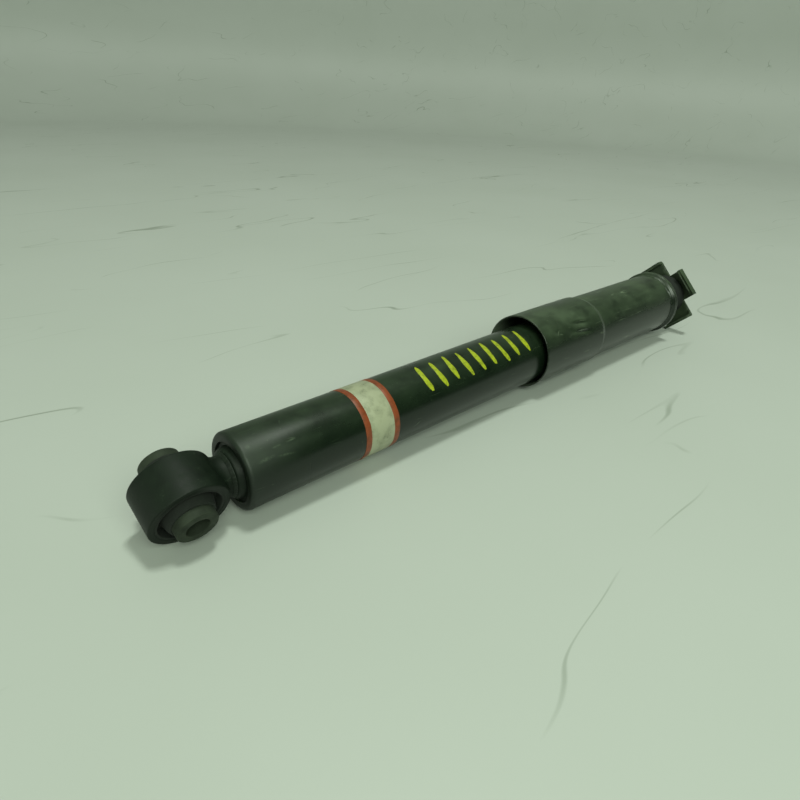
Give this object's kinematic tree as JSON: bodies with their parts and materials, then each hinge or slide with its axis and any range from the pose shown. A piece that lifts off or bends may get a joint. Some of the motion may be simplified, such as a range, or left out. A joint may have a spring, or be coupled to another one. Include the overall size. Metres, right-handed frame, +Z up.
{
  "type": "rear shock absorber",
  "caption": "Telescopic twin-tube rear damper with a rubber-bushed lower eye, a steel dust cover and a cross-shaped top bracket under a threaded stud.",
  "frame": {"origin": "centre of the lower eye's bolt bore", "axes": "+X along the damper's axis from the lower eye to the top bracket, +Z up as the damper lies on a table, +Y across"},
  "size_m": [0.6505, 0.0724, 0.0724],
  "materials": {
    "black_paint": "worn satin black paint",
    "cover_paint": "dusty satin black paint",
    "weld_steel": "painted weld bead",
    "black_rubber": "moulded matt rubber",
    "sleeve_steel": "dulled zinc-plated steel",
    "label_cream": "grimy printed film",
    "label_orange": "grimy printed film",
    "tube_steel": "drawn steel",
    "sintered_iron": "sintered",
    "spring_steel": "bright strip steel",
    "bearing_bronze": "bronze-backed bush",
    "band_ptfe": "filled PTFE",
    "rod_chrome": "ground and chromed",
    "plated_steel": "dull zinc plate",
    "foam": "microcellular foam",
    "bracket_paint": "dusty dark paint on pressed steel"
  },
  "bodies": {
    "damper_body": {"eye_ring": "black_paint", "neck_weld": "weld_steel", "lower_bush": "black_rubber", "end_cap": "black_paint", "body_tube": "black_paint", "label": "label_cream", "label_borders": "label_orange", "pressure_tube": "tube_steel", "base_valve_body": "sintered_iron", "base_valve_shims": "spring_steel", "base_valve_plate": "spring_steel", "base_valve_spring": "spring_steel", "base_valve_bolt": "plated_steel", "rod_guide": "sintered_iron", "guide_bush": "bearing_bronze", "rod_seal": "black_rubber", "closure_plate": "plated_steel"},
    "lower_sleeve": {"bush_sleeve": "sleeve_steel"},
    "piston_seal": {"piston_band": "band_ptfe"},
    "rod_assembly": {"piston_rod": "rod_chrome", "piston": "sintered_iron", "compression_shims": "spring_steel", "rebound_shims": "spring_steel", "piston_washer": "plated_steel", "piston_nut": "plated_steel", "rebound_collar": "plated_steel", "rebound_bumper": "band_ptfe", "bump_stop": "foam", "dust_cover": "cover_paint", "top_cup": "cover_paint", "top_cushion": "black_rubber", "top_spacer": "plated_steel", "cross_bracket": "bracket_paint"}
  },
  "joints": [
    {"name": "bush_twist", "type": "hinge", "parent": "damper_body", "child": "lower_sleeve", "pos_m": [0, 0, 0], "axis": [0, -0.9239, -0.3827], "range_deg": [-25, 25], "stiffness_Nm_per_rad": 40},
    {"name": "rod_slide", "type": "slide", "parent": "damper_body", "child": "piston_seal", "axis": [1, 0, 0], "range_m": [-0.17, 0]},
    {"name": "rod_spin", "type": "hinge", "parent": "piston_seal", "child": "rod_assembly", "pos_m": [0.25, 0, 0], "axis": [1, 0, 0], "continuous": true}
  ]
}
